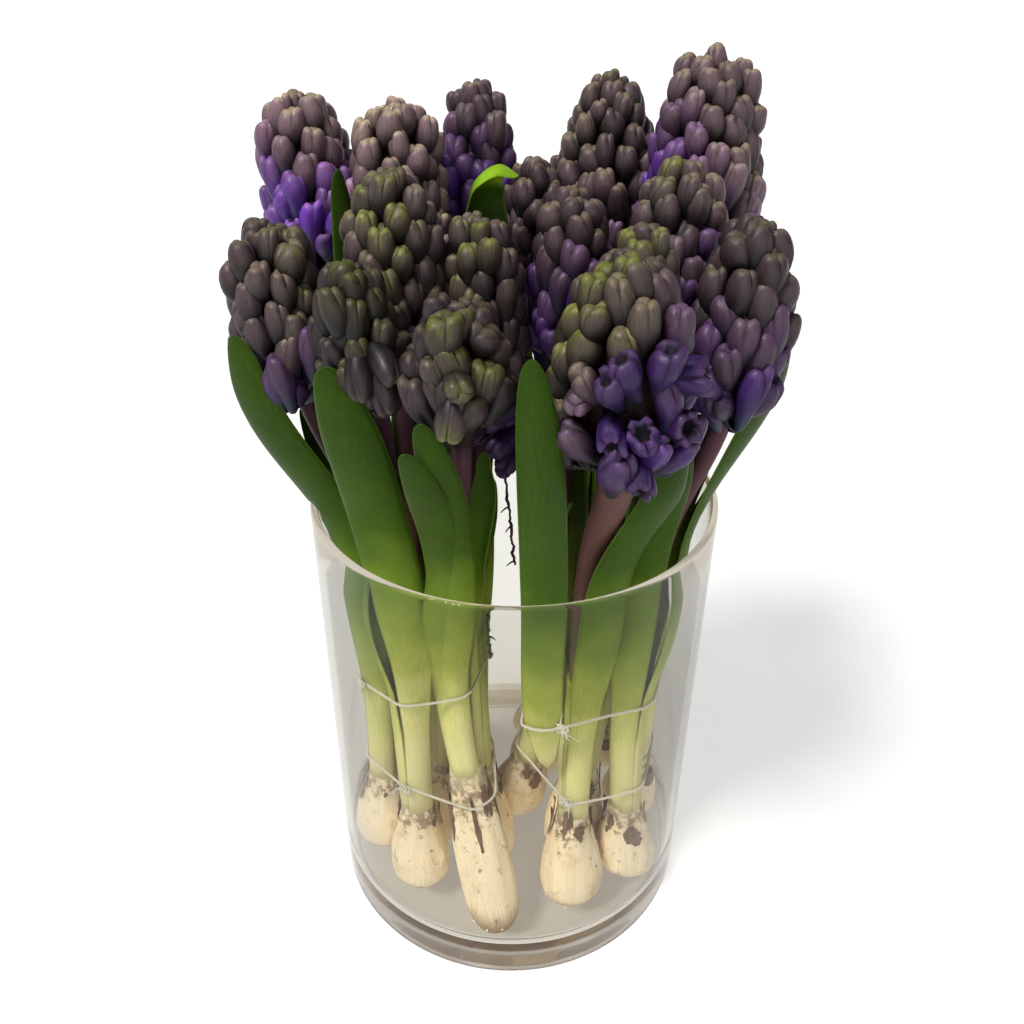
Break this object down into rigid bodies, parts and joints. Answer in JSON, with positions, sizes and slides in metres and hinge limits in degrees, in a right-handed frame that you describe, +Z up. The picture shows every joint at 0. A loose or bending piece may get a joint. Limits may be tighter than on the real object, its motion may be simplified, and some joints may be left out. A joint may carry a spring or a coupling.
{
  "type": "hyacinth flower",
  "caption": "Budding violet hyacinths with leaves and pale bulbs, tied with string in two bunches and standing in a clear glass cylinder vase with a heavy base.",
  "frame": {"origin": "centre of the vase's flat underside", "axes": "+Z up along the vase's axis; -Y towards the front of the arrangement; +X to its right"},
  "size_m": [0.2401, 0.2159, 0.4185],
  "materials": {
    "glass": "clear, polished, slightly grey",
    "bulb": "cream bulb flesh with brown stains and thin dark scale remnants",
    "leaf": "satin green with fine long veins, pale towards the bulb",
    "flower": "waxy satin buds, violet below and brown mauve with olive tips above",
    "string": "off-white twisted twine"
  },
  "bodies": {
    "root": {"vase": "glass", "bulb_A": "bulb", "leaves_A": "leaf", "flower_A": "flower", "bulb_B": "bulb", "leaves_B": "leaf", "flower_B": "flower", "bulb_C": "bulb", "leaves_C": "leaf", "flower_C": "flower", "bulb_D": "bulb", "leaves_D": "leaf", "flower_D": "flower", "bulb_E": "bulb", "leaves_E": "leaf", "flower_E": "flower", "bulb_F": "bulb", "leaves_F": "leaf", "flower_F": "flower", "bulb_G": "bulb", "leaves_G": "leaf", "flower_G": "flower", "bulb_H": "bulb", "leaves_H": "leaf", "flower_H": "flower", "bulb_I": "bulb", "leaves_I": "leaf", "flower_I": "flower", "bulb_J": "bulb", "leaves_J": "leaf", "flower_J": "flower", "bulb_K": "bulb", "leaves_K": "leaf", "flower_K": "flower", "bulb_L": "bulb", "leaves_L": "leaf", "flower_L": "flower", "bulb_M": "bulb", "leaves_M": "leaf", "flower_M": "flower", "bulb_N": "bulb", "leaves_N": "leaf", "flower_N": "flower", "bulb_O": "bulb", "leaves_O": "leaf", "flower_O": "flower", "bulb_P": "bulb", "leaves_P": "leaf", "flower_P": "flower", "loose_leaf": "leaf", "upper_tie_left": "string", "lower_tie_left": "string", "upper_tie_right": "string", "lower_tie_right": "string"}
  },
  "joints": []
}
